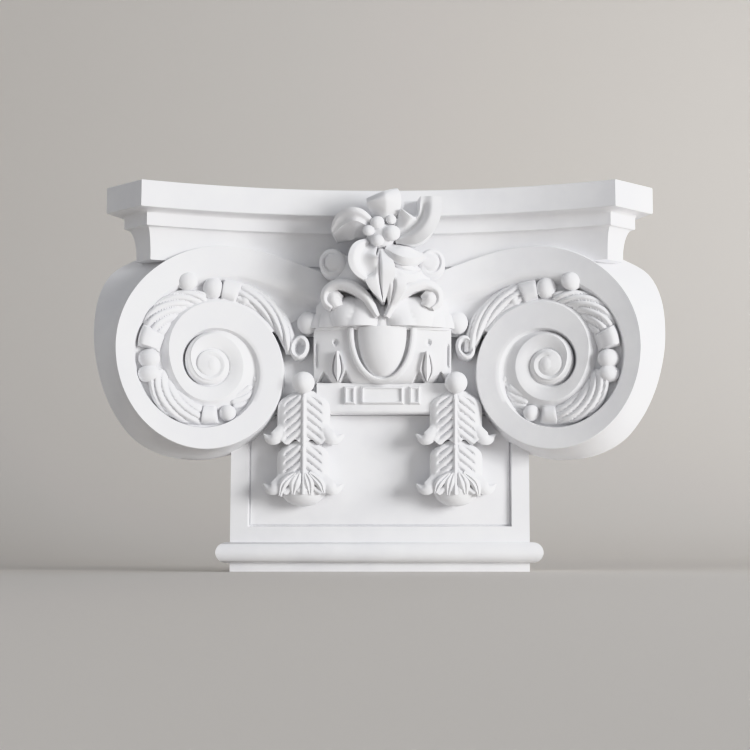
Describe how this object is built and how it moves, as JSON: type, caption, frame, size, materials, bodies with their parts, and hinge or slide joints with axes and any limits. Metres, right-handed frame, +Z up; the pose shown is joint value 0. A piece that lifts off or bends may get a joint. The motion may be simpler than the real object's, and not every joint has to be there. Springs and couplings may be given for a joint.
{
  "type": "pilaster capital",
  "caption": "Moulded pilaster capital with corner scrolls, a central flower, egg-and-dart and hanging husks, flat at the back for a wall.",
  "frame": {"origin": "centre of the flat underside that sits on the pilaster's shaft", "axes": "+X along the wall, +Y into the wall out of the flat back, +Z up out of the abacus"},
  "size_m": [0.3876, 0.1127, 0.26],
  "materials": {
    "primed_white": "factory-primed matt white"
  },
  "bodies": {
    "root": {"capital": "primed_white"}
  },
  "joints": []
}
